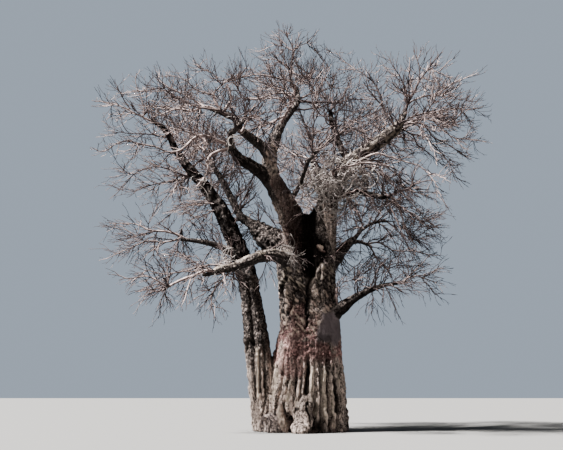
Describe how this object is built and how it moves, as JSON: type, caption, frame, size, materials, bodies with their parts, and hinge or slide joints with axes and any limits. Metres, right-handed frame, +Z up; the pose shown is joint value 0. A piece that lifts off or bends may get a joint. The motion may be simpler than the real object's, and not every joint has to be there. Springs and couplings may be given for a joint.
{
  "type": "baobab tree",
  "caption": "Leafless baobab tree: fluted grey and tan trunk with fused stems, a side stem, spreading boughs and masses of fine bare twigs.",
  "frame": {"origin": "middle of the trunk's flat cut at ground level, at the mount named ground", "axes": "+Z up along the trunk, +X to the viewer's right in the picture's view, +Y away from the viewer"},
  "size_m": [17.9849, 14.4865, 18.1529],
  "materials": {
    "trunk_bark": "matte, fluted, tan below and grey-brown above",
    "bough_bark": "matte, wrinkled, grey-brown",
    "twigs": "matte, grey-brown with a pink cast"
  },
  "bodies": {
    "root": {"trunk": "trunk_bark", "side_stem": "trunk_bark", "left_bough": "bough_bark", "left_outer_bough": "bough_bark", "left_crook_bough": "bough_bark", "top_bough": "bough_bark", "inner_left_bough": "bough_bark", "right_stem": "bough_bark", "right_bough": "bough_bark", "back_right_bough": "bough_bark", "middle_right_bough": "bough_bark", "right_rear_bough": "bough_bark", "right_hanging_bough": "bough_bark", "lowest_bough": "bough_bark", "left_low_bough": "bough_bark", "left_rear_bough": "bough_bark", "right_back_bough": "bough_bark", "rear_bough": "bough_bark", "rear_low_bough": "bough_bark", "side_bough": "bough_bark", "left_middle_bough": "bough_bark", "front_bough": "bough_bark", "side_tip_twigs": "twigs", "side_shoulder_twigs": "twigs", "side_second_twigs": "twigs", "side_third_twigs": "twigs", "side_hanging_twigs": "twigs", "left_middle_twigs": "twigs", "left_low_twigs": "twigs", "left_hanging_twigs": "twigs", "left_arch_twigs": "twigs", "left_upper_twigs": "twigs", "inner_left_twigs": "twigs", "top_twigs": "twigs", "top_right_twigs": "twigs", "right_rise_twigs": "twigs", "right_top_twigs": "twigs", "right_tip_twigs": "twigs", "right_sweep_twigs": "twigs", "right_low_twigs": "twigs", "right_middle_twigs": "twigs", "right_rear_twigs": "twigs", "right_inner_twigs": "twigs", "right_hanging_twigs": "twigs", "lowest_tip_twigs": "twigs", "lowest_hanging_twigs": "twigs", "front_left_twigs": "twigs", "front_right_twigs": "twigs", "front_far_left_twigs": "twigs", "front_far_right_twigs": "twigs", "front_top_twigs": "twigs", "rear_left_twigs": "twigs", "rear_low_left_twigs": "twigs", "rear_right_twigs": "twigs", "rear_low_right_twigs": "twigs", "rear_hanging_twigs": "twigs", "rear_top_twigs": "twigs", "rear_middle_twigs": "twigs"}
  },
  "joints": []
}
